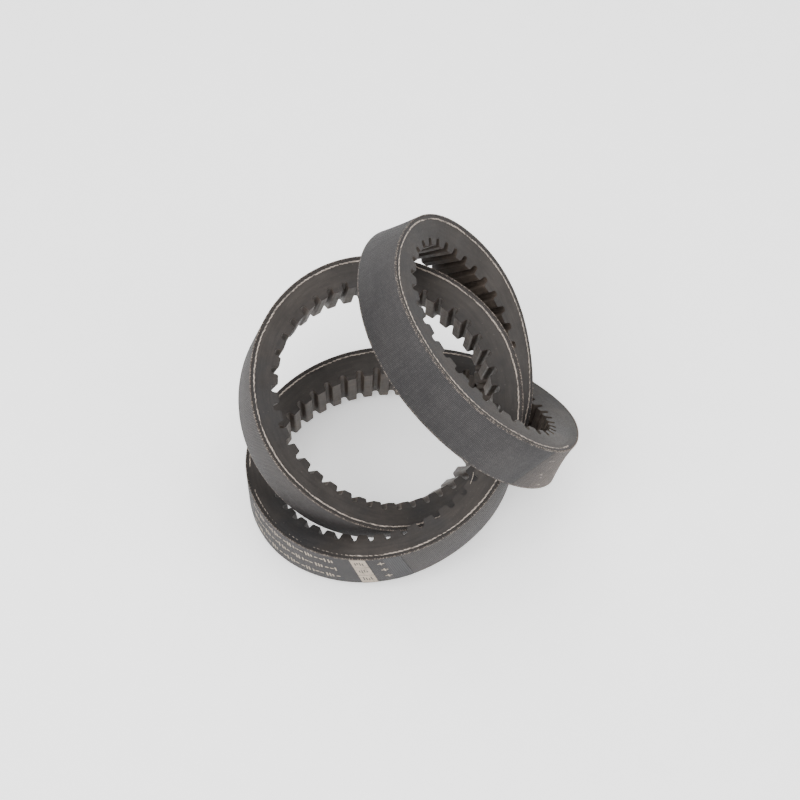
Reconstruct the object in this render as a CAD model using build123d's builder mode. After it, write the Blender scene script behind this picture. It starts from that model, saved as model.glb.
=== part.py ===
"""Endless raw-edge cogged V-belt for a variable-speed drive, stored twisted into three coils.

Millimetres, +Z up. The origin is on the floor under the middle of the coiled belt, and the
lowest coil rests on its lower side edge. The layers are bonded together along the whole closed
route and follow the same stations: each is one closed ring, except the back fabric, which is
three panels laid end to end.
"""

import os
from math import radians, tan

from build123d import *

# Belt section
TOP_WIDTH = 32.0
FLANK_ANGLE = 15.0
CORD_LINE = 2.4  # depth of the neutral cord line below the back

# Layers, as depths below the back: (name, top, bottom)
FABRIC_THICKNESS = 1.1
RINGS = [
    ("tension_gum", FABRIC_THICKNESS, 1.9),
    ("cord_layer", 1.9, 2.9),
    ("cushion_gum", 2.9, 4.6),
]
COG_BASE_TOP = 4.6
COG_TIP = 15.4

# Cogs
COG_COUNT = 120
NOTCH_ROOT = 11.5  # depth of the notch floor below the back
NOTCH_ROOT_SHARE = 0.33  # widths of a notch, as shares of the pitch at that depth
NOTCH_MOUTH_SHARE = 0.41
NOTCH_FLARE_SHARE = 0.50  # the cog tips are bevelled into the mouth
NOTCH_BEVEL = 0.8
NOTCH_ROUNDING = 0.42  # radius in the notch floor's corners, as a share of the floor's width
CUT_MARGIN = 0.4

# The back fabric is laid in three panels that meet in straight butt joints
STATION_COUNT = 144
PANEL_JOINTS = [6, 53, 100]

# A size label is transferred across the back, over one station span
LABEL_STATION = 8
LABEL_THICKNESS = 0.15
LABEL_WIDTH = 31.0

# The coiled route of the cord line: control points of a closed cubic B-spline, four cogs
# apart, each with the direction of the belt's width towards the upper side face.
ROUTE = [
    # lowest coil, from its front right round the front, the left and the back
    ((48, -53, 51), (-0.30, -0.34, 0.91)),
    ((13, -79, 37), (-0.22, -0.14, 0.97)),
    ((-29, -84, 26), (-0.27, 0.01, 0.97)),
    ((-70, -65, 18), (-0.05, 0.12, 1.00)),
    ((-90, -23, 15), (0.03, 0.01, 0.99)),
    ((-75, 21, 18), (-0.01, -0.12, 1.01)),
    ((-37, 46, 20), (0.00, 0.01, 0.97)),
    ((6, 51, 19), (0.05, -0.02, 1.06)),
    ((49, 40, 12), (0.27, 0.65, 0.79)),
    # tight curl up at the right, then over the top of the other coils
    ((80, 8, 26), (0.24, 0.61, 0.71)),
    ((84, -26, 57), (0.30, 0.72, 0.71)),
    ((66, -53, 89), (0.83, 0.20, 0.65)),
    ((29, -49, 117), (0.44, 0.11, 0.90)),
    ((-2, -19, 129), (0.60, 0.08, 0.79)),
    ((-21, 19, 143), (0.50, 0.02, 0.90)),
    # small upper coil, down its far side and under to the front
    ((-13, 66, 134), (0.81, 0.05, 0.60)),
    ((17, 84, 100), (0.74, -0.40, 0.62)),
    ((44, 65, 68), (0.71, -0.06, 0.67)),
    ((53, 30, 45), (1.04, -0.11, 0.36)),
    ((56, -8, 21), (0.27, -0.64, 0.88)),
    # large leaning coil, up its left side and back over the right
    ((26, -43, 13), (0.20, -0.19, 0.94)),
    ((-12, -62, 25), (0.56, -0.25, 0.83)),
    ((-49, -61, 50), (0.50, -0.29, 0.80)),
    ((-79, -38, 75), (0.35, -0.41, 0.86)),
    ((-86, 4, 92), (0.22, -0.23, 0.95)),
    ((-67, 45, 94), (0.28, -0.15, 0.95)),
    ((-28, 68, 91), (0.10, -0.27, 0.97)),
    ((17, 59, 88), (-0.06, -0.22, 0.97)),
    ((49, 28, 82), (0.12, -0.17, 0.99)),
    ((59, -13, 69), (0.06, -0.40, 0.91)),
]


def blended(column, weights, first):
    """Weighted sum of four neighbouring control vectors of one ROUTE column."""
    total = Vector(0, 0, 0)
    for k, weight in enumerate(weights):
        total += Vector(*ROUTE[(first + k) % len(ROUTE)][column]) * weight
    return total


def station_plane(turn):
    """Section plane at a fraction of the closed route: x across the belt, y into its depth."""
    position = turn % 1 * len(ROUTE)
    first = int(position) - 1
    t = position % 1
    rise = t**3 / 6
    weights = ((1 - t) ** 3 / 6, 3 * rise - t**2 + 2 / 3, (1 + 3 * t + 3 * t**2) / 6 - 3 * rise, rise)
    slopes = (-((1 - t) ** 2) / 2, (3 * t**2 - 4 * t) / 2, (1 + 2 * t - 3 * t**2) / 2, t**2 / 2)
    tangent = blended(0, slopes, first).normalized()
    width = blended(1, weights, first)
    return Plane(blended(0, weights, first), x_dir=width - tangent * width.dot(tangent), z_dir=tangent)


def half_width(depth):
    """Half the belt's width at a depth below its back."""
    return TOP_WIDTH / 2 - depth * tan(radians(FLANK_ANGLE))


def section(plane, top, bottom, top_half, bottom_half):
    """Trapezoid of one layer in a station plane."""
    with BuildSketch(plane) as sketch:
        with BuildLine():
            Polyline(
                (-top_half, top - CORD_LINE),
                (top_half, top - CORD_LINE),
                (bottom_half, bottom - CORD_LINE),
                (-bottom_half, bottom - CORD_LINE),
                close=True,
            )
        make_face()
    return sketch.sketch.face()


def layer_sections(first, last, top, bottom):
    """Sections of a layer that fills the belt from flank to flank, from station first to last."""
    return [
        section(station_plane(i / STATION_COUNT), top, bottom, half_width(top), half_width(bottom))
        for i in range(first, last)
    ]


def closed_ring(top, bottom):
    """A layer round the whole route. The first section comes again at the end and closes it."""
    sections = layer_sections(0, STATION_COUNT, top, bottom)
    with BuildPart() as ring:
        loft(sections + sections[:1], ruled=True)
    return ring


def local_pitch(index, depth):
    """Length of one cog pitch at a depth below the back: less than at the cord line in a bend."""
    ends = [station_plane((index + k) / COG_COUNT) for k in (0, 1)]
    before, after = (end.origin + end.y_dir * (depth - CORD_LINE) for end in ends)
    return (after - before).length


def notch_cutter(index):
    """Solid of the gap between two cogs, in a plane along the belt, wide enough for both flanks.

    The gap closes up where the belt bends tightly, in proportion to the local pitch.
    """
    station = station_plane((index + 0.5) / COG_COUNT)
    root = NOTCH_ROOT - CORD_LINE
    tip = COG_TIP - CORD_LINE
    root_half = NOTCH_ROOT_SHARE * local_pitch(index, NOTCH_ROOT) / 2
    mouth_half = NOTCH_MOUTH_SHARE * local_pitch(index, COG_TIP) / 2
    flare_half = NOTCH_FLARE_SHARE * local_pitch(index, COG_TIP) / 2
    with BuildPart(mode=Mode.PRIVATE) as cutter:
        with BuildSketch(Plane(station.origin, x_dir=station.z_dir, z_dir=-station.x_dir)):
            with BuildLine():
                Polyline(
                    (-root_half, root),
                    (-mouth_half, tip - NOTCH_BEVEL),
                    (-flare_half, tip + CUT_MARGIN),
                    (flare_half, tip + CUT_MARGIN),
                    (mouth_half, tip - NOTCH_BEVEL),
                    (root_half, root),
                    close=True,
                )
            outline = make_face()
            fillet(outline.vertices().group_by(Axis.Y)[0], NOTCH_ROUNDING * 2 * root_half)
        extrude(amount=half_width(NOTCH_ROOT) + CUT_MARGIN, both=True)
    return cutter.part


def fabric_panel(first, last):
    """One panel of the back fabric between two butt joints."""
    with BuildPart() as panel:
        loft(layer_sections(first, last + 1, 0, FABRIC_THICKNESS), ruled=True)
    return panel


def save(builder, name):
    """Label a finished piece and write its STEP file."""
    builder.part.label = name
    export_step(builder.part, f"parts/{name}.step")


os.makedirs("parts", exist_ok=True)

# Back fabric panels, the last one running on past the start of the route
panel_ends = PANEL_JOINTS[1:] + [PANEL_JOINTS[0] + STATION_COUNT]
for number, (start, end) in enumerate(zip(PANEL_JOINTS, panel_ends), start=1):
    save(fabric_panel(start, end), f"back_fabric_panel_{number}")

# Tension gum, cord layer and cushion gum
for ring_name, ring_top, ring_bottom in RINGS:
    save(closed_ring(ring_top, ring_bottom), ring_name)

# Compression rubber with its cogs, the notches cut one for each cog
with BuildPart() as cogged_base:
    add(closed_ring(COG_BASE_TOP, COG_TIP).part)
    add([notch_cutter(i) for i in range(COG_COUNT)], mode=Mode.SUBTRACT)
save(cogged_base, "cogged_base")

# Size label on the back of the lowest coil
with BuildPart() as size_label:
    loft(
        [
            section(station_plane(i / STATION_COUNT), -LABEL_THICKNESS, 0, LABEL_WIDTH / 2, LABEL_WIDTH / 2)
            for i in (LABEL_STATION, LABEL_STATION + 1)
        ],
        ruled=True,
    )
save(size_label, "size_label")
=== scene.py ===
"""Studio scene of an endless raw-edge cogged V-belt, coiled in three loops.

Every belt piece is modelled straight, as on a bench: X runs along the belt, Y across it and Z out
towards its back, with the cord line at Z = 0. Its modifiers are applied there, and then it is laid
on the coiled route. Materials follow the straight shape through the "laid" attribute.
"""

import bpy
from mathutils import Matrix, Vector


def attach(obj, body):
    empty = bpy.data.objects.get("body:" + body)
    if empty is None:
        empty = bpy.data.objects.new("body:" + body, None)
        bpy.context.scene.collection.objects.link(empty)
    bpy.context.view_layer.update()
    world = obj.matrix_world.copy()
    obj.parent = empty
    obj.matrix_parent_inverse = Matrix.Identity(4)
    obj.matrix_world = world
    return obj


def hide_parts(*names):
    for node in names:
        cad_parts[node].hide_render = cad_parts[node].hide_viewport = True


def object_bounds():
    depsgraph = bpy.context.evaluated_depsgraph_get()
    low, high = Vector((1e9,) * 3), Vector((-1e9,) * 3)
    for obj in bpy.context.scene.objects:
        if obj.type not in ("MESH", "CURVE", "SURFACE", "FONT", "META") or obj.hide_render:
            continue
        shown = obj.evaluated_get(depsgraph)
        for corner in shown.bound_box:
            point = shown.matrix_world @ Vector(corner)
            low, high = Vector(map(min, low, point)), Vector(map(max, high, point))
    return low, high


bl_info = {
    "name": "Coiled cogged V-belt",
    "version": (1, 0, 0),
    "blender": (4, 5, 0),
    "location": "View3D > Sidebar > Belt",
    "description": "Models a raw-edge cogged V-belt on a coiled route and sets its studio",
    "category": "Add Mesh",
}

from math import cos, radians, sin, tan, tau

import bpy
import numpy as np
from mathutils import Matrix, Vector

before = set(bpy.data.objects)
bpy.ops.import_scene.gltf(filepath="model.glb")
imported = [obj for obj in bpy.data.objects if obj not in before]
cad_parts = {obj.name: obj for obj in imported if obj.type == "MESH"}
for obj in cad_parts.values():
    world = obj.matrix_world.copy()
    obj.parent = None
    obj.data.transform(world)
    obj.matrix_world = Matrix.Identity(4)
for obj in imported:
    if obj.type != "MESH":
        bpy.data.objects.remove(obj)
CAD_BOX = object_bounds()

MM = 0.001

# Belt section and layers, in millimetres: depths are below the back
TOP_WIDTH = 32.0
FLANK_ANGLE = 15.0
CORD_LINE = 2.4
FABRIC_BOTTOM = 1.1
CORD_TOP = 1.9
CORD_BOTTOM = 2.9
COG_BASE_TOP = 4.6
COG_TIP = 15.4

# Cogs
COG_COUNT = 120
BELT_LENGTH = 1298.0
PITCH = BELT_LENGTH / COG_COUNT
NOTCH_ROOT = 11.5
NOTCH_ROOT_WIDTH = 0.33 * PITCH
NOTCH_MOUTH_WIDTH = 0.41 * PITCH
COG_TIP_WIDTH = 0.50 * PITCH
MOUTH_BEVEL = 0.8

# Joints of the back fabric, the printed label and the curl, as stations of 144 round the belt
STATION_COUNT = 144
PANEL_JOINTS = (6, 53, 100)
LABEL_STATION = 8
CURL_START = 43
CURL_FULL = 47.5
# Stretch where painted light lightens the curl's back, from its start to where it is full
LIGHT_PAINT_START = 47
LIGHT_PAINT_FULL = 51

WEAVE_PITCH = 0.75 * MM
RIB_PITCH = 1.1 * MM
PANEL_GAP = 0.02 * MM  # between two panels of fabric, on each side of a joint
DULL_SPECULAR = 0.35  # specular level of rubber and rubberised fabric
WELD_DISTANCE = 0.015 * MM
SMOOTH_ANGLE = radians(40)
THREAD_RADIUS = 0.42 * MM  # of the outermost tensile cord

# The coiled route of the cord line, as in the CAD source: control points of a closed cubic
# B-spline in millimetres, each with the direction of the belt's width.
ROUTE = (
    ((48, -53, 51), (-0.30, -0.34, 0.91)),
    ((13, -79, 37), (-0.22, -0.14, 0.97)),
    ((-29, -84, 26), (-0.27, 0.01, 0.97)),
    ((-70, -65, 18), (-0.05, 0.12, 1.00)),
    ((-90, -23, 15), (0.03, 0.01, 0.99)),
    ((-75, 21, 18), (-0.01, -0.12, 1.01)),
    ((-37, 46, 20), (0.00, 0.01, 0.97)),
    ((6, 51, 19), (0.05, -0.02, 1.06)),
    ((49, 40, 12), (0.27, 0.65, 0.79)),
    ((80, 8, 26), (0.24, 0.61, 0.71)),
    ((84, -26, 57), (0.30, 0.72, 0.71)),
    ((66, -53, 89), (0.83, 0.20, 0.65)),
    ((29, -49, 117), (0.44, 0.11, 0.90)),
    ((-2, -19, 129), (0.60, 0.08, 0.79)),
    ((-21, 19, 143), (0.50, 0.02, 0.90)),
    ((-13, 66, 134), (0.81, 0.05, 0.60)),
    ((17, 84, 100), (0.74, -0.40, 0.62)),
    ((44, 65, 68), (0.71, -0.06, 0.67)),
    ((53, 30, 45), (1.04, -0.11, 0.36)),
    ((56, -8, 21), (0.27, -0.64, 0.88)),
    ((26, -43, 13), (0.20, -0.19, 0.94)),
    ((-12, -62, 25), (0.56, -0.25, 0.83)),
    ((-49, -61, 50), (0.50, -0.29, 0.80)),
    ((-79, -38, 75), (0.35, -0.41, 0.86)),
    ((-86, 4, 92), (0.22, -0.23, 0.95)),
    ((-67, 45, 94), (0.28, -0.15, 0.95)),
    ((-28, 68, 91), (0.10, -0.27, 0.97)),
    ((17, 59, 88), (-0.06, -0.22, 0.97)),
    ((49, 28, 82), (0.12, -0.17, 0.99)),
    ((59, -13, 69), (0.06, -0.40, 0.91)),
)


# ---------------------------------------------------------------- the route


def station_frames(turns):
    """Origin, width and outward directions at fractions of the closed route, as arrays."""
    points, widths = (np.array(column, float) for column in zip(*ROUTE))
    position = np.mod(turns, 1.0) * len(ROUTE)
    first = np.floor(position).astype(int) - 1
    t = (position % 1.0)[:, None]
    rise = t**3 / 6
    weights = ((1 - t) ** 3 / 6, 3 * rise - t**2 + 2 / 3, (1 + 3 * t + 3 * t**2) / 6 - 3 * rise, rise)
    slopes = (-((1 - t) ** 2) / 2, (3 * t**2 - 4 * t) / 2, (1 + 2 * t - 3 * t**2) / 2, t**2 / 2)
    near = [(first + k) % len(ROUTE) for k in range(4)]
    origin = sum(weight * points[index] for weight, index in zip(weights, near))
    tangent = sum(slope * points[index] for slope, index in zip(slopes, near))
    tangent /= np.linalg.norm(tangent, axis=1, keepdims=True)
    width = sum(weight * widths[index] for weight, index in zip(weights, near))
    width -= (width * tangent).sum(1, keepdims=True) * tangent
    width /= np.linalg.norm(width, axis=1, keepdims=True)
    return origin * MM, width, np.cross(width, tangent)


def lay_on_route(piece):
    """Bend a straight piece onto the coiled route and keep its straight shape as an attribute."""
    mesh = piece.data
    straight = np.empty(len(mesh.vertices) * 3)
    mesh.vertices.foreach_get("co", straight)
    straight = straight.reshape(-1, 3)
    corners = np.empty(len(mesh.loops), int)
    mesh.loops.foreach_get("vertex_index", corners)
    laid = mesh.attributes.new("laid", "FLOAT_VECTOR", "CORNER")
    laid.data.foreach_set("vector", straight[corners].ravel())
    origin, width, outward = station_frames(straight[:, 0] / (BELT_LENGTH * MM))
    bent = origin + width * straight[:, 1:2] + outward * straight[:, 2:3]
    mesh.vertices.foreach_set("co", bent.ravel())
    mesh.update()


def half_width(depth):
    """Half the belt's width at a depth below its back, in metres."""
    return (TOP_WIDTH / 2 - depth * tan(radians(FLANK_ANGLE))) * MM


def height(depth):
    """Height above the cord line of a depth below the back, in metres: a rise is a depth below zero."""
    return (CORD_LINE - depth) * MM


def station_x(station):
    """Distance along the straight belt of a station, in metres."""
    return station / STATION_COUNT * BELT_LENGTH * MM


# ---------------------------------------------------------------- modelling helpers


def start_piece(name, add_primitive, **options):
    """Add a primitive with nothing else selected, name it and put its place into its mesh."""
    if bpy.context.object and bpy.context.object.mode != "OBJECT":
        bpy.ops.object.mode_set(mode="OBJECT")
    bpy.ops.object.select_all(action="DESELECT")
    add_primitive(**options)
    piece = bpy.context.object
    piece.name = name
    piece.data.name = name
    bpy.ops.object.transform_apply(location=True, rotation=True, scale=True)
    return piece


def select_faces(piece, wanted):
    """Select in edit mode the faces whose centre and normal pass a test."""
    bpy.ops.object.mode_set(mode="EDIT")
    bpy.ops.mesh.select_mode(type="FACE")
    bpy.ops.mesh.select_all(action="DESELECT")
    bpy.ops.object.mode_set(mode="OBJECT")
    for face in piece.data.polygons:
        face.select = wanted(face.center, face.normal)
    bpy.ops.object.mode_set(mode="EDIT")


def select_edges(piece, wanted):
    """Select in edit mode the edges whose two ends pass a test."""
    bpy.ops.object.mode_set(mode="EDIT")
    bpy.ops.mesh.select_mode(type="EDGE")
    bpy.ops.mesh.select_all(action="DESELECT")
    bpy.ops.object.mode_set(mode="OBJECT")
    vertices = piece.data.vertices
    for edge in piece.data.edges:
        edge.select = wanted(*(vertices[i].co for i in edge.vertices))
    bpy.ops.object.mode_set(mode="EDIT")


def edit_whole(operator, **options):
    """Run an edit mode operator on the whole of the active piece."""
    bpy.ops.object.mode_set(mode="EDIT")
    bpy.ops.mesh.select_all(action="SELECT")
    operator(**options)
    bpy.ops.object.mode_set(mode="OBJECT")


def apply_modifier(piece, kind, **settings):
    """Add a modifier, set it and apply it."""
    modifier = piece.modifiers.new(kind.title(), kind)
    for key, value in settings.items():
        setattr(modifier, key, value)
    bpy.context.view_layer.objects.active = piece
    bpy.ops.object.modifier_apply(modifier=modifier.name)


def repeat_along(piece, count, step):
    """Repeat a piece along the belt and weld each copy to the next."""
    apply_modifier(
        piece,
        "ARRAY",
        count=count,
        use_relative_offset=False,
        use_constant_offset=True,
        constant_offset_displace=(step, 0, 0),
        use_merge_vertices=True,
        merge_threshold=0.00002,
    )


def enclosed_volume(mesh):
    """Volume inside a closed mesh: below zero if its faces point inwards."""
    return sum(face.center.dot(face.normal) * face.area for face in mesh.polygons) / 3


def finish_piece(piece, replaced=()):
    """Lay a straight piece on the route, weld its ends, smooth it and tell the frame about it."""
    lay_on_route(piece)
    edit_whole(bpy.ops.mesh.remove_doubles, threshold=WELD_DISTANCE)
    edit_whole(bpy.ops.mesh.normals_make_consistent, inside=False)
    if enclosed_volume(piece.data) < 0:
        edit_whole(bpy.ops.mesh.flip_normals)
    bpy.ops.object.shade_smooth_by_angle(angle=SMOOTH_ANGLE)
    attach(piece, "root")
    if replaced:
        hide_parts(*replaced)


def straight_band(name, start, length, steps, top, bottom, widths, closed):
    """A straight band of the belt: one step is a cube with tapered flanks, repeated along."""
    step = length / steps
    middle = (top + bottom) / 2
    piece = start_piece(
        name,
        bpy.ops.mesh.primitive_cube_add,
        size=1,
        location=(start + step / 2, 0, middle),
        scale=(step, 1, top - bottom),
    )
    for vertex in piece.data.vertices:
        half = widths[0] if vertex.co.z > middle else widths[1]
        vertex.co.y = half if vertex.co.y > 0 else -half
    select_faces(piece, lambda centre, normal: abs(normal.x) > 0.9)
    bpy.ops.mesh.delete(type="FACE")
    bpy.ops.object.mode_set(mode="OBJECT")
    repeat_along(piece, steps, step)
    if not closed:
        edit_whole(bpy.ops.mesh.fill_holes, sides=0)
    return piece


def ring(name, top_depth, bottom_depth):
    """A straight layer as long as the whole belt, from flank to flank."""
    return straight_band(
        name,
        0,
        BELT_LENGTH * MM,
        COG_COUNT * 6,
        height(top_depth),
        height(bottom_depth),
        (half_width(top_depth), half_width(bottom_depth)),
        closed=True,
    )


# ---------------------------------------------------------------- material helpers


class Nodes:
    """Shorthand for building one node tree."""

    def __init__(self, tree):
        self.tree = tree

    def add(self, kind, values=None, **settings):
        """A node with its settings, and its sockets linked to outputs or set to plain values."""
        node = self.tree.nodes.new(kind)
        for key, value in settings.items():
            setattr(node, key, value)
        for key, value in (values or {}).items():
            if hasattr(value, "is_output"):
                self.tree.links.new(value, node.inputs[key])
            else:
                node.inputs[key].default_value = value
        return node

    def math(self, operation, *values):
        """Result of a Math node on values or outputs."""
        return self.add("ShaderNodeMath", dict(enumerate(values)), operation=operation).outputs[0]

    def noise(self, vector, scale, detail=3.0, roughness=0.55):
        """Noise between 0 and 1 at a vector."""
        values = {"Vector": vector, "Scale": scale, "Detail": detail, "Roughness": roughness}
        return self.add("ShaderNodeTexNoise", values).outputs["Fac"]

    def spread(self, value, low, high, to_low=0.0, to_high=1.0):
        """A value between low and high, stretched to new limits and held within them."""
        values = {0: value, 1: low, 2: high, 3: to_low, 4: to_high}
        return self.add("ShaderNodeMapRange", values, clamp=True).outputs[0]

    def mix(self, factor, first, second, blend="MIX"):
        """Two colours mixed by a factor."""
        values = {0: factor, 6: first, 7: second}
        return self.add("ShaderNodeMix", values, data_type="RGBA", blend_type=blend).outputs[2]

    def grey(self, value):
        """A grey of one value."""
        return self.add("ShaderNodeCombineColor", {0: value, 1: value, 2: value}).outputs[0]

    def tone(self, colour, value):
        """A colour made darker or lighter by a value."""
        return self.mix(1.0, colour, self.grey(value), "MULTIPLY")

    def scaled(self, vector, scale):
        """A vector stretched along its axes, for patterns longer one way."""
        return self.add("ShaderNodeMapping", {"Vector": vector, "Scale": scale}).outputs[0]

    def split(self, vector):
        """The X, Y and Z of a vector."""
        return self.add("ShaderNodeSeparateXYZ", {0: vector}).outputs

    def bump(self, heights, distance, strength=1.0):
        """A normal that follows heights."""
        values = {"Height": heights, "Distance": distance, "Strength": strength}
        return self.add("ShaderNodeBump", values).outputs["Normal"]


def new_group(name, vectors, values, results):
    """An empty shader node group with named vectors and values to read and values to give."""
    group = bpy.data.node_groups.new(name, "ShaderNodeTree")
    for label in vectors:
        group.interface.new_socket(label, in_out="INPUT", socket_type="NodeSocketVector")
    for label in values:
        group.interface.new_socket(label, in_out="INPUT", socket_type="NodeSocketFloat")
    for label in results:
        group.interface.new_socket(label, in_out="OUTPUT", socket_type="NodeSocketFloat")
    nodes = Nodes(group)
    return group, nodes, nodes.add("NodeGroupInput").outputs


def finish_group(nodes, **results):
    """Link a group's results to its outputs."""
    output = nodes.add("NodeGroupOutput")
    for label, value in results.items():
        nodes.tree.links.new(value, output.inputs[label])


def rubber_grain_group():
    """Mottled rubber: broad patches, fine grain and pale dust, for cut and moulded faces."""
    results = ("Patches", "Grain", "Dust")
    group, nodes, given = new_group("Rubber grain", ["Vector"], ["Grain Scale"], results)
    vector = given["Vector"]
    scale = given["Grain Scale"]
    patches = nodes.spread(nodes.noise(vector, 38.0, 5.0, 0.6), 0.36, 0.66)
    fine = nodes.noise(vector, scale, 4.0, 0.7)
    specks = nodes.noise(vector, nodes.math("MULTIPLY", scale, 0.8), 2.0, 0.6)
    finish_group(nodes, Patches=patches, Grain=fine, Dust=nodes.spread(specks, 0.66, 0.8))
    return group


def white_noise(nodes, dimensions, **place):
    """A random value for each cell of a weave."""
    return nodes.add("ShaderNodeTexWhiteNoise", place, noise_dimensions=dimensions).outputs["Value"]


def weave_group():
    """Plain weave on the straight belt: height of the threads and how each thread differs."""
    results = ("Height", "Thread", "Crossing")
    group, nodes, given = new_group("Plain weave", ["Laid"], ["Thread Pitch"], results)
    parts = nodes.split(given["Laid"])
    waves = []
    cells = []
    for axis in ("X", "Y"):
        count = nodes.math("DIVIDE", parts[axis], given["Thread Pitch"])
        wave = nodes.math("SINE", nodes.math("MULTIPLY", count, tau / 2))
        waves.append(nodes.math("ABSOLUTE", wave))
        cells.append(nodes.math("FLOOR", count))
    tones = [white_noise(nodes, "1D", W=cell) for cell in cells]
    parity = nodes.math("MODULO", nodes.math("ABSOLUTE", nodes.math("ADD", *cells)), 2.0)
    over = nodes.math("MULTIPLY", waves[0], nodes.math("POWER", waves[1], 0.35))
    under = nodes.math("MULTIPLY", waves[1], nodes.math("POWER", waves[0], 0.35))
    heights = nodes.add("ShaderNodeMix", {0: parity, 2: over, 3: under}, data_type="FLOAT").outputs[0]
    cell = nodes.add("ShaderNodeCombineXYZ", {"X": cells[0], "Y": cells[1]}).outputs[0]
    crossing = white_noise(nodes, "2D", Vector=cell)
    thread = nodes.math("MULTIPLY", nodes.math("ADD", nodes.math("ADD", *tones), crossing), 1 / 3)
    finish_group(nodes, Height=heights, Thread=thread, Crossing=crossing)
    return group


def edge_wear_group():
    """The rubbed band along both edges of the back, whole and broken up by noise."""
    group, nodes, given = new_group("Edge wear", ["Laid", "Vector"], [], ("Edge", "Band"))
    across = nodes.math("ABSOLUTE", nodes.split(given["Laid"])["Y"])
    band = nodes.spread(across, half_width(0) - 0.0014, half_width(0) - 0.0002)
    broken = nodes.spread(nodes.noise(given["Vector"], 300.0, 4.0, 0.7), 0.35, 0.65)
    edge = nodes.math("MULTIPLY", band, broken)
    finish_group(nodes, Edge=edge, Band=nodes.spread(band, 0.0, 0.35))
    return group


def place_group(nodes, name, build, **inputs):
    """Put a shared node group into a material with its own values."""
    tree = bpy.data.node_groups.get(name) or build()
    values = {key.replace("_", " "): value for key, value in inputs.items()}
    return nodes.add("ShaderNodeGroup", values, node_tree=tree).outputs


def new_material(name, roughness, specular=0.5):
    """A material with a Principled shader, its nodes and the two vectors that patterns follow."""
    material = bpy.data.materials.new(name)
    material.use_nodes = True
    material.node_tree.nodes.clear()
    nodes = Nodes(material.node_tree)
    values = {"Roughness": roughness, "Specular IOR Level": specular}
    shader = nodes.add("ShaderNodeBsdfPrincipled", values)
    output = nodes.add("ShaderNodeOutputMaterial")
    nodes.tree.links.new(shader.outputs[0], output.inputs["Surface"])
    place = nodes.add("ShaderNodeTexCoord").outputs["Object"]
    laid = nodes.add("ShaderNodeAttribute", attribute_name="laid").outputs["Vector"]
    return material, nodes, shader, place, laid


def connect(nodes, shader, **sockets):
    """Link values to a shader's sockets, named with underscores for spaces."""
    for name, value in sockets.items():
        nodes.tree.links.new(value, shader.inputs[name.replace("_", " ")])


def rubber_material(name, dark, light, bloom, grain_scale, bump_depth, roughness):
    """Rubber with patches of two tones, a cool bloom, streaks along the belt and a fine grain."""
    material, nodes, shader, place, laid = new_material(name, roughness, DULL_SPECULAR)
    grain = place_group(nodes, "Rubber grain", rubber_grain_group, Vector=place, Grain_Scale=grain_scale)
    base = nodes.mix(grain["Patches"], dark, light)
    base = nodes.mix(nodes.spread(nodes.noise(place, 24.0, 4.0, 0.6), 0.5, 0.7), base, bloom)
    streaks = nodes.noise(nodes.scaled(laid, (0.12, 1, 1)), 520.0, 4.0, 0.6)
    streaked = nodes.spread(streaks, 0.35, 0.7, 0.82, 1.22)
    shade = nodes.spread(grain["Grain"], 0.3, 0.7, 0.78, 1.2)
    toned = nodes.tone(base, nodes.math("MULTIPLY", shade, streaked))
    dusty = nodes.mix(nodes.math("MULTIPLY", grain["Dust"], 0.22), toned, (0.17, 0.15, 0.13, 1))
    rough = nodes.spread(grain["Grain"], 0.3, 0.7, roughness - 0.1, roughness + 0.12)
    relief = nodes.math("ADD", grain["Grain"], nodes.math("MULTIPLY", streaks, 0.6))
    connect(nodes, shader, Base_Color=dusty, Roughness=rough, Normal=nodes.bump(relief, bump_depth))
    return material


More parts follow.
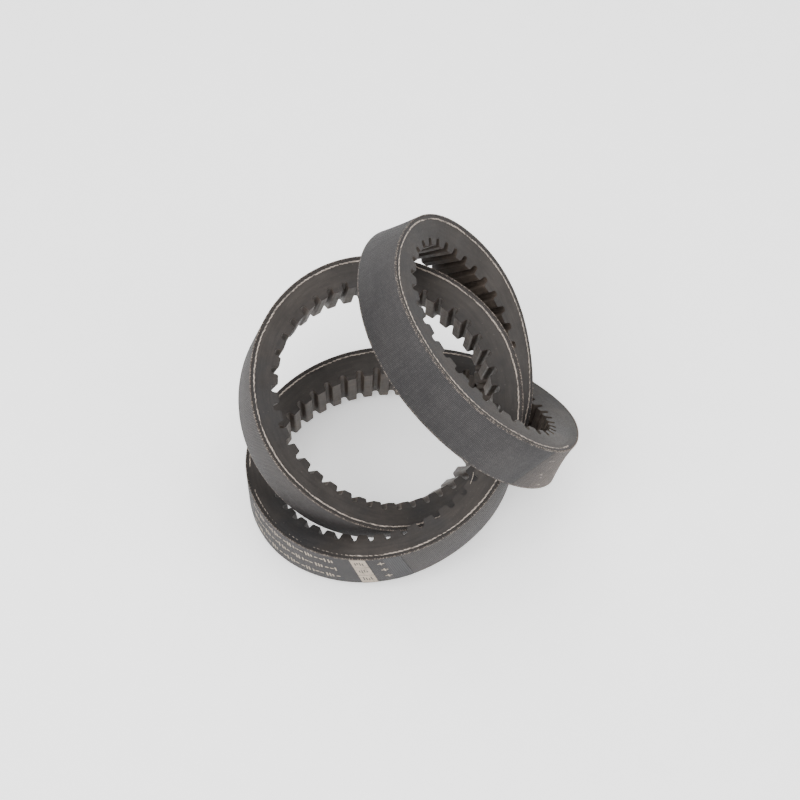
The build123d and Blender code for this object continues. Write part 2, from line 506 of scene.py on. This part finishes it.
def fabric_material(name, dark, light, brown, warmth):
    """Rubberised plain weave, rubbed brown along its edges and where the belt was bent hardest."""
    material, nodes, shader, place, laid = new_material(name, 0.7, DULL_SPECULAR)
    weave = place_group(nodes, "Plain weave", weave_group, Laid=laid, Thread_Pitch=WEAVE_PITCH)
    rubbed = place_group(nodes, "Edge wear", edge_wear_group, Laid=laid, Vector=place)
    # Broad tones, warmer in patches
    base = nodes.mix(nodes.spread(nodes.noise(place, 22.0, 5.0, 0.6), 0.38, 0.66), dark, light)
    warm = nodes.spread(nodes.noise(place, 45.0, 3.0, 0.5), 0.3, 0.7, warmth * 0.6, warmth)
    base = nodes.mix(warm, base, brown)

    # Brown where the belt is bent at the curl, up to the joint, and along the edges, and painted light
    # that lightens the curl's back towards the joint
    along = nodes.split(laid)["X"]
    joint = PANEL_JOINTS[1]
    before_joint = nodes.math("LESS_THAN", along, station_x(joint))
    easing = nodes.spread(along, station_x(joint + 1.5), station_x(joint - 3.5))
    near_joint = nodes.math("MULTIPLY", before_joint, easing)
    curled = nodes.spread(along, station_x(CURL_START), station_x(CURL_FULL))
    bent = nodes.math("MULTIPLY", curled, near_joint)
    patchy = nodes.spread(nodes.noise(place, 120.0, 4.0, 0.65), 0.3, 0.75, 0.45, 1.0)
    browned = nodes.mix(nodes.math("MULTIPLY", bent, patchy), base, brown)
    browned = nodes.mix(nodes.math("MULTIPLY", rubbed["Edge"], 0.5), browned, brown)
    # Painted light: the curl's back made up to 1.3 times lighter from here up to the joint
    light_paint_ramp = nodes.spread(along, station_x(LIGHT_PAINT_START), station_x(LIGHT_PAINT_FULL))
    light_paint_mask = nodes.math("MULTIPLY", light_paint_ramp, before_joint)
    browned = nodes.tone(browned, nodes.math("MULTIPLY_ADD", light_paint_mask, 0.3, 1.0))

    # Threads: their tones, painted highlight on their crowns and painted shade in the hollows between
    # them, pale tips at the edges and painted highlight on a few crossings
    thread = nodes.spread(weave["Thread"], 0.2, 0.8, 0.86, 1.14)
    # Painted highlight and painted shade: the weave's crowns lightened and its hollows darkened by their
    # height
    crown_highlight_and_hollow_shade = nodes.spread(weave["Height"], 0.1, 0.9, 0.4, 1.5)
    toned = nodes.tone(browned, nodes.math("MULTIPLY", thread, crown_highlight_and_hollow_shade))
    tipped = nodes.spread(weave["Crossing"], 0.52, 0.6)
    tips = nodes.math("MULTIPLY", tipped, nodes.spread(weave["Height"], 0.45, 0.7))
    fray = nodes.math("MULTIPLY", tips, nodes.math("MULTIPLY", rubbed["Band"], 0.6))
    toned = nodes.mix(fray, toned, (0.30, 0.25, 0.21, 1))
    # Painted highlight: a few raised crossings lightened towards pale grey
    chosen = nodes.spread(weave["Crossing"], 0.72, 0.8)
    painted_crossing_highlight = nodes.math("MULTIPLY", chosen, nodes.spread(weave["Height"], 0.5, 0.8))
    toned = nodes.mix(nodes.math("MULTIPLY", painted_crossing_highlight, 0.1), toned, (0.15, 0.14, 0.135, 1))

    # Scuffs on the curl and crumbs of dust
    scuff = nodes.spread(nodes.noise(nodes.scaled(laid, (0.35, 1, 1)), 300.0, 2.0, 0.5), 0.66, 0.7)
    scuffs = nodes.math("MULTIPLY", nodes.math("MULTIPLY", scuff, bent), 0.9)
    scuffed = nodes.mix(scuffs, toned, (0.36, 0.31, 0.26, 1))
    crumbs = nodes.spread(nodes.noise(place, 1500.0, 2.0, 0.5), 0.7, 0.78)
    dotted = nodes.mix(nodes.math("MULTIPLY", crumbs, 0.3), scuffed, (0.16, 0.14, 0.12, 1))

    rough = nodes.spread(weave["Height"], 0.0, 1.0, 0.85, 0.62)
    relief = nodes.bump(weave["Height"], 0.00014, 0.9)
    connect(nodes, shader, Base_Color=dotted, Roughness=rough, Normal=relief)
    return material


def ribbed_material(name, dark, light):
    """The overlap strip beside the joint: fine ribs straight across the belt."""
    material, nodes, shader, place, laid = new_material(name, 0.7, DULL_SPECULAR)
    turn = nodes.math("MULTIPLY", nodes.split(laid)["X"], tau / 2 / RIB_PITCH)
    rib = nodes.math("ABSOLUTE", nodes.math("SINE", turn))
    fibre = nodes.noise(nodes.scaled(laid, (1, 0.1, 1)), 1800.0, 2.0)
    # Painted highlight and painted shade: ribs lighter on their crests and darker in their troughs, broken
    # up by fibre noise
    tone = nodes.spread(nodes.math("MULTIPLY", rib, fibre), 0.05, 0.55, 0.55, 1.5)
    toned = nodes.tone(nodes.mix(nodes.noise(place, 90.0), dark, light), tone)
    connect(nodes, shader, Base_Color=toned, Normal=nodes.bump(rib, 0.00012))
    return material


def cord_material(name, colour, smeared):
    """Twisted pale yarn with fibre noise, its strands painted lighter on their crests and darker in the
    grooves between them, with rubber smeared over it in places.
    """
    material, nodes, shader, place, laid = new_material(name, 0.85)
    parts = nodes.split(laid)
    slant = nodes.math("MULTIPLY", parts["Z"], 3600.0)
    turn = nodes.math("ADD", nodes.math("MULTIPLY", parts["X"], 1150.0), slant)
    lay = nodes.math("ABSOLUTE", nodes.math("SINE", turn))
    fibre = nodes.noise(place, 2400.0, 2.0)
    # Painted highlight and painted shade: strands lighter on their crests and darker in the grooves, times
    # fibre noise
    tone = nodes.spread(nodes.math("MULTIPLY", lay, fibre), 0.05, 0.42, 0.42, 1.2)
    smear = nodes.spread(nodes.noise(place, 330.0, 4.0, 0.7), 0.5, 0.6)
    covered = nodes.math("MULTIPLY", smear, smeared)
    colours = nodes.mix(covered, nodes.tone(colour, tone), (0.07, 0.062, 0.057, 1))
    connect(nodes, shader, Base_Color=colours, Normal=nodes.bump(lay, 0.00015))
    return material


def ink_material(name, colour, worn_from):
    """Printed ink, worn off in patches, with painted shade in the hollows of the weave and painted
    highlight on its crowns.
    """
    material, nodes, shader, place, laid = new_material(name, 0.75)
    weave = place_group(nodes, "Plain weave", weave_group, Laid=laid, Thread_Pitch=WEAVE_PITCH)
    worn = nodes.spread(nodes.noise(place, 650.0, 3.0, 0.7), worn_from, worn_from + 0.12)
    # Painted shade and painted highlight: the ink darkened in the weave's hollows and lightened on its
    # crowns
    printed = nodes.tone(colour, nodes.spread(weave["Height"], 0.1, 0.9, 0.8, 1.12))
    patches = nodes.tone(printed, nodes.spread(nodes.noise(place, 180.0), 0.3, 0.7, 0.85, 1.1))
    colours = nodes.mix(nodes.math("MULTIPLY", worn, 0.8), patches, (0.06, 0.055, 0.052, 1))
    connect(nodes, shader, Base_Color=colours, Normal=nodes.bump(weave["Height"], 0.00008, 0.6))
    return material


# ---------------------------------------------------------------- settings


class BeltSettings(bpy.types.PropertyGroup):
    """Finishes of the belt that a user would change."""

    fabric_dark: bpy.props.FloatVectorProperty(
        name="Fabric, dark",
        description="Darker tone of the back fabric",
        subtype="COLOR",
        size=4,
        default=(0.0195, 0.0192, 0.0208, 1),
    )
    fabric_light: bpy.props.FloatVectorProperty(
        name="Fabric, light",
        description="Lighter tone of the back fabric",
        subtype="COLOR",
        size=4,
        default=(0.033, 0.0318, 0.033, 1),
    )
    flank_dark: bpy.props.FloatVectorProperty(
        name="Flank, dark",
        description="Darker tone of the cut side faces",
        subtype="COLOR",
        size=4,
        default=(0.0185, 0.0155, 0.0138, 1),
    )
    flank_light: bpy.props.FloatVectorProperty(
        name="Flank, light",
        description="Lighter tone of the cut side faces",
        subtype="COLOR",
        size=4,
        default=(0.034, 0.0285, 0.025, 1),
    )
    bloom: bpy.props.FloatVectorProperty(
        name="Bloom",
        description="Cool tone of the patches on the rubber",
        subtype="COLOR",
        size=4,
        default=(0.0185, 0.0178, 0.0182, 1),
    )
    worn_brown: bpy.props.FloatVectorProperty(
        name="Worn brown",
        description="Tone of the fabric where it is rubbed",
        subtype="COLOR",
        size=4,
        default=(0.066, 0.049, 0.038, 1),
    )
    cog_dark: bpy.props.FloatVectorProperty(
        name="Cog, dark",
        description="Darker tone of the moulded cog faces",
        subtype="COLOR",
        size=4,
        default=(0.034, 0.027, 0.022, 1),
    )
    cog_light: bpy.props.FloatVectorProperty(
        name="Cog, light",
        description="Lighter tone of the moulded cog faces",
        subtype="COLOR",
        size=4,
        default=(0.080, 0.063, 0.050, 1),
    )
    cord_colour: bpy.props.FloatVectorProperty(
        name="Cord",
        description="Colour of the bare tensile cord",
        subtype="COLOR",
        size=4,
        default=(0.33, 0.28, 0.24, 1),
    )
    ink_colour: bpy.props.FloatVectorProperty(
        name="Ink",
        description="Colour of the printed marks",
        subtype="COLOR",
        size=4,
        default=(0.36, 0.30, 0.235, 1),
    )
    fray_pitch: bpy.props.FloatProperty(
        name="Fray pitch",
        description="Distance between frayed threads on the back's edges",
        default=0.00065,
        unit="LENGTH",
    )


class StudioSettings(bpy.types.PropertyGroup):
    """Camera and light of the studio."""

    target: bpy.props.FloatVectorProperty(
        name="Target",
        description="Point that the camera looks at",
        subtype="XYZ",
        unit="LENGTH",
        default=(-0.0047, 0.0109, 0.0445),
    )
    distance: bpy.props.FloatProperty(
        name="Distance",
        description="From the camera to its target",
        default=0.790,
        unit="LENGTH",
    )
    elevation: bpy.props.FloatProperty(
        name="Elevation",
        description="Height angle of the camera",
        default=radians(60.3),
        subtype="ANGLE",
    )
    roll: bpy.props.FloatProperty(
        name="Roll",
        description="Turn of the camera about its own axis",
        default=radians(2.43),
        subtype="ANGLE",
    )
    lens: bpy.props.FloatProperty(
        name="Lens",
        description="Focal length in millimetres",
        default=65.6,
    )
    key_power: bpy.props.FloatProperty(
        name="Key power",
        description="Power of the key light",
        default=15.0,
        unit="POWER",
    )


# ---------------------------------------------------------------- operators


class BELT_OT_back_fabric(bpy.types.Operator):
    """Lay the three panels of woven fabric on the belt's back"""

    bl_idname = "belt.back_fabric"
    bl_label = "Back fabric"

    def execute(self, context):
        belt = context.scene.belt
        warmth = {1: 0.12, 2: 0.1, 3: 0.25}
        ends = PANEL_JOINTS[1:] + (PANEL_JOINTS[0] + STATION_COUNT,)
        for number, (start, end) in enumerate(zip(PANEL_JOINTS, ends), start=1):
            piece = straight_band(
                f"back_fabric_{number}",
                station_x(start) + PANEL_GAP,
                station_x(end - start) - 2 * PANEL_GAP,
                (end - start) * 5,
                height(0),
                height(FABRIC_BOTTOM),
                (half_width(0), half_width(FABRIC_BOTTOM)),
                closed=False,
            )
            rounding = {"width": 0.22 * MM, "segments": 2, "angle_limit": radians(50)}
            apply_modifier(piece, "BEVEL", limit_method="ANGLE", **rounding)
            name = f"Back fabric {number}"
            colours = (belt.fabric_dark, belt.fabric_light, belt.worn_brown)
            piece.data.materials.append(fabric_material(name, *colours, warmth[number]))
            finish_piece(piece, [f"back_fabric_panel_{number}"])
        return {"FINISHED"}


class BELT_OT_rubber_layers(bpy.types.Operator):
    """Make the tension gum, the cord layer's band and the cushion gum"""

    bl_idname = "belt.rubber_layers"
    bl_label = "Rubber layers"

    def execute(self, context):
        belt = context.scene.belt
        dark, light, bloom = belt.flank_dark, belt.flank_light, belt.bloom
        tension = rubber_material("Tension gum", dark, dark, bloom, 900.0, 0.00006, 0.62)
        cushion = rubber_material("Cushion gum", dark, light, bloom, 1100.0, 0.0001, 0.66)
        for name, node, top, bottom, slot, material in (
            ("tension_gum_ring", "tension_gum", FABRIC_BOTTOM, CORD_TOP, "tension_rubber", tension),
            ("cord_band", "cord_layer", CORD_TOP, CORD_BOTTOM, "tensile_cord", cushion),
            ("cushion_gum_ring", "cushion_gum", CORD_BOTTOM, COG_BASE_TOP, "cushion_rubber", cushion),
        ):
            piece = ring(name, top, bottom)
            piece.data.materials.append(material)
            finish_piece(piece, [node])
        return {"FINISHED"}


def cord_cover(turn):
    """How deep the edge cord lies under rubber at a fraction of the route.

    It is half covered beside the printed marks, and gone from the lowest coil's back right
    through the curl.
    """
    if 0.06 < turn < 0.13:
        return 0.00026
    if 0.255 < turn < 0.356:
        return 0.0007
    return 0


class BELT_OT_edge_cords(bpy.types.Operator):
    """Bare the outermost tensile cord along each cut side face"""

    bl_idname = "belt.edge_cords"
    bl_label = "Edge cords"

    def execute(self, context):
        material = cord_material("Tensile cord", context.scene.belt.cord_colour, 0.8)
        steps = COG_COUNT * 16
        step = BELT_LENGTH * MM / steps
        for name, side in (("edge_cord_upper", 1), ("edge_cord_lower", -1)):
            piece = start_piece(
                name,
                bpy.ops.mesh.primitive_cylinder_add,
                vertices=10,
                radius=1,
                depth=step,
                end_fill_type="NOTHING",
                rotation=(0, radians(90), 0),
                location=(step / 2, 0, 0),
            )
            for vertex in piece.data.vertices:
                vertex.co.y *= THREAD_RADIUS
                vertex.co.z *= THREAD_RADIUS
            repeat_along(piece, steps, step)
            # Twisted strands with a slow swell, which sway up and down and sink in places
            for vertex in piece.data.vertices:
                turn = vertex.co.x / (BELT_LENGTH * MM) * tau
                strand = abs(sin(turn * 240 + vertex.co.z * 2500))
                swell = 0.72 + 0.42 * strand + 0.12 * sin(turn * 37)
                sway = sin(turn * 61 + side) + 0.7 * sin(turn * 149) + 0.5 * sin(turn * 233)
                sunk = 0.00012 * (sin(turn * 29 + side) + 0.8 * sin(turn * 71))
                bare = half_width(CORD_LINE) - 0.00016 - cord_cover(turn / tau) + min(sunk, 0.00004)
                vertex.co.y = vertex.co.y * swell + side * bare
                vertex.co.z = vertex.co.z * swell + sway * 0.00008
            piece.data.materials.append(material)
            finish_piece(piece)
        return {"FINISHED"}


class BELT_OT_cogs(bpy.types.Operator):
    """Model one pitch of the compression rubber with its cog and repeat it round the belt"""

    bl_idname = "belt.cogs"
    bl_label = "Cogs"

    def execute(self, context):
        belt = context.scene.belt
        pitch = PITCH * MM
        root, tip = height(NOTCH_ROOT), height(COG_TIP)
        top = height(COG_BASE_TOP)
        cog_root = (PITCH - NOTCH_ROOT_WIDTH) * MM
        cog_mouth = (PITCH - NOTCH_MOUTH_WIDTH) * MM
        cog_tip = COG_TIP_WIDTH * MM
        piece = start_piece(
            "cogged_compression",
            bpy.ops.mesh.primitive_cube_add,
            size=1,
            location=(0, 0, (top + root) / 2),
            scale=(pitch, 1, top - root),
        )
        bpy.ops.object.mode_set(mode="EDIT")
        for part in (-0.5, -0.25, 0, 0.25, 0.5):
            bpy.ops.mesh.select_all(action="SELECT")
            bpy.ops.mesh.bisect(plane_co=(part * cog_root, 0, 0), plane_no=(1, 0, 0))
        select_faces(piece, lambda centre, normal: normal.z < -0.9 and abs(centre.x) < cog_root / 2)
        drop = (COG_TIP - MOUTH_BEVEL - NOTCH_ROOT) * MM
        taper = cog_mouth / cog_root
        for down, scale in ((drop, taper), (MOUTH_BEVEL * MM, cog_tip / cog_mouth)):
            bpy.ops.mesh.extrude_region_move(TRANSFORM_OT_translate={"value": (0, 0, -down)})
            bpy.ops.transform.resize(value=(scale, 1, 1), center_override=(0, 0, 0))
        bpy.ops.object.mode_set(mode="OBJECT")
        select_faces(piece, lambda centre, normal: abs(normal.x) > 0.99 and abs(centre.x) > pitch * 0.49)
        bpy.ops.mesh.delete(type="FACE")
        for depth_here, reach, width, segments in (
            (root, cog_root / 2, 0.0013, 4),
            (tip + MOUTH_BEVEL * MM, cog_mouth / 2, 0.0004, 2),
            (tip, cog_tip / 2, 0.0006, 3),
        ):

            def across(a, b):
                """Whether an edge runs straight across the belt at this depth and reach."""
                level = max(abs(a.z - depth_here), abs(b.z - depth_here)) < 1e-5
                return level and abs(a.x - b.x) < 1e-6 and abs(abs(a.x) - reach) < 1e-5

            select_edges(piece, across)
            bpy.ops.mesh.bevel(offset=width, segments=segments, affect="EDGES")
        bpy.ops.object.mode_set(mode="OBJECT")
        for vertex in piece.data.vertices:
            half = half_width(CORD_LINE - vertex.co.z / MM)
            vertex.co.y = half if vertex.co.y > 0 else -half
        flank_colours = (belt.flank_dark, belt.flank_light, belt.bloom)
        cog_colours = (belt.cog_dark, belt.cog_light, belt.cog_dark)
        flank = rubber_material("Cut flank", *flank_colours, 1100.0, 0.0001, 0.66)
        moulded = rubber_material("Moulded cog", *cog_colours, 500.0, 0.00005, 0.5)
        piece.data.materials.append(flank)
        piece.data.materials.append(moulded)
        for face in piece.data.polygons:
            face.material_index = 0 if abs(face.normal.y) > 0.5 else 1
        repeat_along(piece, COG_COUNT, pitch)
        finish_piece(piece, ["cogged_base"])
        return {"FINISHED"}


class BELT_OT_frayed_edges(bpy.types.Operator):
    """Stand short frayed thread ends along both edges of the back fabric"""

    bl_idname = "belt.frayed_edges"
    bl_label = "Frayed edges"

    def execute(self, context):
        material = cord_material("Frayed thread", (0.27, 0.225, 0.185, 1), 0.5)
        pitch = context.scene.belt.fray_pitch
        count = int(BELT_LENGTH * MM / pitch)
        chance = np.random.default_rng(7)
        for name, side in (("frayed_edge_upper", 1), ("frayed_edge_lower", -1)):
            piece = start_piece(
                name,
                bpy.ops.mesh.primitive_cone_add,
                vertices=4,
                radius1=0.00017,
                radius2=0.00006,
                depth=0.0006,
                location=(0, 0, 0),
                rotation=(radians(-90 * side), 0, 0),
            )
            apply_modifier(
                piece,
                "ARRAY",
                count=count,
                use_relative_offset=False,
                use_constant_offset=True,
                constant_offset_displace=(pitch, 0, 0),
            )
            per_thread = len(piece.data.vertices) // count
            places = np.empty(len(piece.data.vertices) * 3)
            piece.data.vertices.foreach_get("co", places)
            places = places.reshape(count, per_thread, 3)  # thread, corner, axis
            shift = chance.uniform(-0.3, 0.3, (count, 1)) * pitch
            length = chance.uniform(0.15, 1.0, (count, 1))
            middle = (np.arange(count) * pitch)[:, None]
            places[:, :, 0] = middle + shift + (places[:, :, 0] - middle)
            places[:, :, 1] = side * half_width(0.35) + places[:, :, 1] * length
            places[:, :, 2] += height(0.3) + chance.uniform(-0.15, 0.2, (count, 1)) * MM
            piece.data.vertices.foreach_set("co", places.ravel())
            piece.data.materials.append(material)
            finish_piece(piece)
        return {"FINISHED"}


class BELT_OT_loose_thread(bpy.types.Operator):
    """Hang a loose thread of cord over a cog's edge near the joint"""

    bl_idname = "belt.loose_thread"
    bl_label = "Loose thread"

    def execute(self, context):
        start, length, steps = 1289.4 * MM, 7.4 * MM, 14
        piece = start_piece(
            "loose_thread",
            bpy.ops.mesh.primitive_cylinder_add,
            vertices=6,
            radius=0.0002,
            depth=length / steps,
            end_fill_type="NOTHING",
            rotation=(0, radians(90), 0),
            location=(start + length / steps / 2, 0, 0),
        )
        repeat_along(piece, steps, length / steps)
        for vertex in piece.data.vertices:
            share = (vertex.co.x - start) / length
            depth = COG_TIP - 2.5 * share
            vertex.co.y += half_width(depth) + (0.0001 + 0.0007 * sin(share * tau / 2))
            vertex.co.z += height(depth) + 0.0003 * sin(share * tau * 0.7)
        edit_whole(bpy.ops.mesh.fill_holes, sides=0)
        piece.data.materials.append(cord_material("Loose thread", context.scene.belt.cord_colour, 0.2))
        finish_piece(piece)
        return {"FINISHED"}


class BELT_OT_printing(bpy.types.Operator):
    """Transfer the size label and print plain generic marks on the lowest coil's back"""

    bl_idname = "belt.printing"
    bl_label = "Printing"

    def execute(self, context):
        belt = context.scene.belt
        pale = ink_material("Printed ink", belt.ink_colour, 0.55)
        dark = ink_material("Dark ink", (0.03, 0.026, 0.023, 1), 0.62)
        start = station_x(LABEL_STATION + 0.08)
        length = station_x(0.92)
        label = self.film("size_label_film", start, length, -15.7, 15.7, 0.09, 10)
        label.data.materials.append(pale)
        finish_piece(label, ["size_label"])
        lines = []
        for across in (-15.4, -5.2, 5.2, 15.4):
            edges = (across - 0.14, across + 0.14)
            lines.append(self.film(f"line_{across}", start, length, *edges, 0.12, 10))
        for row, across in enumerate((-10.3, 0.0, 10.3)):
            for column, share in enumerate((0.24, 0.4, 0.56, 0.72)):
                tall = (2.0, 1.2, 1.6)[(row + column) % 3]
                shift = (0.6, -0.5, 0.1)[(row * 2 + column) % 3]
                bar = (start + share * length, 0.0006, across + shift - tall, across + shift + tall)
                lines.append(self.film(f"bar_{row}_{column}", *bar, 0.12, 1))
        self.print_marks("label_marks", lines, dark)
        strip_start = station_x(PANEL_JOINTS[0] + 0.02)
        strip = self.film("ribbed_strip", strip_start, station_x(1.03), -15.8, 15.8, 0.08, 10)
        strip.data.materials.append(ribbed_material("Ribbed strip", belt.fabric_dark, belt.fabric_light))
        finish_piece(strip)
        pluses = []
        middle = station_x(7.3)
        for across in (-8.6, 0.2, 9.0):
            for reach, half, rise, steps in ((0.0018, 0.35, 0.07, 2), (0.00035, 1.8, 0.065, 1)):
                edges = (across - half, across + half)
                pluses.append(self.film("plus", middle - reach, 2 * reach, *edges, rise, steps))
        self.print_marks("plus_marks", pluses, pale)
        for row, across in enumerate((-9.2, 0.0, 9.2), start=1):
            self.print_marks(f"printed_row_{row}", self.strokes(row, across), pale)
        return {"FINISHED"}

    def film(self, name, start, length, low, high, rise, steps):
        """A thin film on the back, let into the fabric a little.

        Its start and length are in metres, and its two edges across and its rise in millimetres.
        """
        levels = (height(-rise), height(0.02))
        piece = straight_band(name, start, length, steps, *levels, (0.01, 0.01), closed=False)
        for vertex in piece.data.vertices:
            vertex.co.y = (high if vertex.co.y > 0 else low) * MM
        return piece

    def strokes(self, row, across):
        """Plain upright strokes and short dashes that stand apart, unevenly spaced."""
        films = []
        place = station_x(10.15)
        while place < station_x(16.6):
            kind = (len(films) * 2 + row) % 5
            wide, tall = ((0.8, 1.9), (1.9, 0.45), (0.8, 1.9), (0.8, 1.3), (1.9, 0.45))[kind]
            edges = (across - tall, across + tall)
            films.append(self.film("stroke", place, wide * MM, *edges, 0.07, 1))
            place += (wide + (0.75, 0.85, 1.5)[(len(films) + row) % 3]) * MM
        return films

    def print_marks(self, name, films, ink):
        """Join films into one printed piece and lay it on the belt."""
        bpy.ops.object.select_all(action="DESELECT")
        for film in films:
            film.select_set(True)
        bpy.context.view_layer.objects.active = films[0]
        bpy.ops.object.join()
        films[0].name = name
        films[0].data.name = name
        films[0].data.materials.append(ink)
        finish_piece(films[0])


class BELT_OT_studio(bpy.types.Operator):
    """Set the pale floor, the soft lights and the camera"""

    bl_idname = "belt.studio"
    bl_label = "Studio"

    def execute(self, context):
        studio = context.scene.studio
        under_belt = (0, 0, CAD_BOX[0][2] - 0.0002)
        floor = start_piece("floor", bpy.ops.mesh.primitive_plane_add, size=6, location=under_belt)
        material, nodes, shader, place, _ = new_material("Floor paper", 0.9)
        grey = nodes.grey(nodes.spread(nodes.noise(place, 60.0), 0.3, 0.7, 0.93, 0.95))
        connect(nodes, shader, Base_Color=grey, Emission_Color=grey)
        shader.inputs["Emission Strength"].default_value = 0.6
        floor.data.materials.append(material)
        self.light("Key", (-0.5, -0.5, 0.95), 0.7, studio.key_power)
        self.light("Fill", (0.8, -0.3, 0.7), 0.9, studio.key_power * 0.5)
        self.light("Top", (0.0, 0.45, 1.1), 0.9, studio.key_power * 0.7)
        world = bpy.data.worlds.new("Studio")
        world.use_nodes = True
        background = world.node_tree.nodes["Background"]
        background.inputs["Color"].default_value = (1, 1, 1, 1)
        background.inputs["Strength"].default_value = 0.75
        context.scene.world = world
        self.camera(context, studio)
        return {"FINISHED"}

    def light(self, name, place, size, power):
        """A square soft light that points at the belt."""
        bpy.ops.object.light_add(type="AREA", location=place)
        light = bpy.context.object
        light.name = name
        light.data.size = size
        light.data.energy = power
        light.rotation_euler = (Vector((0, 0, 0.06)) - light.location).to_track_quat("-Z", "Y").to_euler()

    def camera(self, context, studio):
        """The camera looks at its target from the front, from above."""
        target = Vector(studio.target)
        away = Vector((0, -cos(studio.elevation), sin(studio.elevation)))
        bpy.ops.object.camera_add(location=target + away * studio.distance)
        camera = bpy.context.object
        facing = (-away).to_track_quat("-Z", "Y").to_matrix()
        camera.rotation_euler = (facing @ Matrix.Rotation(studio.roll, 3, "Z")).to_euler()
        camera.data.lens = studio.lens
        camera.data.sensor_width = 36.0
        context.scene.camera = camera


class BELT_PT_panel(bpy.types.Panel):
    """Lists the belt's operators and settings"""

    bl_idname = "BELT_PT_panel"
    bl_label = "Coiled belt"
    bl_space_type = "VIEW_3D"
    bl_region_type = "UI"
    bl_category = "Belt"

    def draw(self, context):
        for operator in OPERATORS:
            self.layout.operator(operator.bl_idname)
        for settings, kind in ((context.scene.belt, BeltSettings), (context.scene.studio, StudioSettings)):
            for name in kind.__annotations__:
                self.layout.prop(settings, name)


OPERATORS = (
    BELT_OT_studio,
    BELT_OT_back_fabric,
    BELT_OT_rubber_layers,
    BELT_OT_edge_cords,
    BELT_OT_cogs,
    BELT_OT_frayed_edges,
    BELT_OT_loose_thread,
    BELT_OT_printing,
)
CLASSES = (BeltSettings, StudioSettings, *OPERATORS, BELT_PT_panel)


def register():
    for cls in CLASSES:
        bpy.utils.register_class(cls)
    bpy.types.Scene.belt = bpy.props.PointerProperty(type=BeltSettings)
    bpy.types.Scene.studio = bpy.props.PointerProperty(type=StudioSettings)


def unregister():
    del bpy.types.Scene.studio
    del bpy.types.Scene.belt
    for cls in reversed(CLASSES):
        bpy.utils.unregister_class(cls)


def main():
    """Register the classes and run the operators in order."""
    register()
    for operator in OPERATORS:
        group, name = operator.bl_idname.split(".")
        getattr(getattr(bpy.ops, group), name)()


if __name__ == "__main__":
    main()
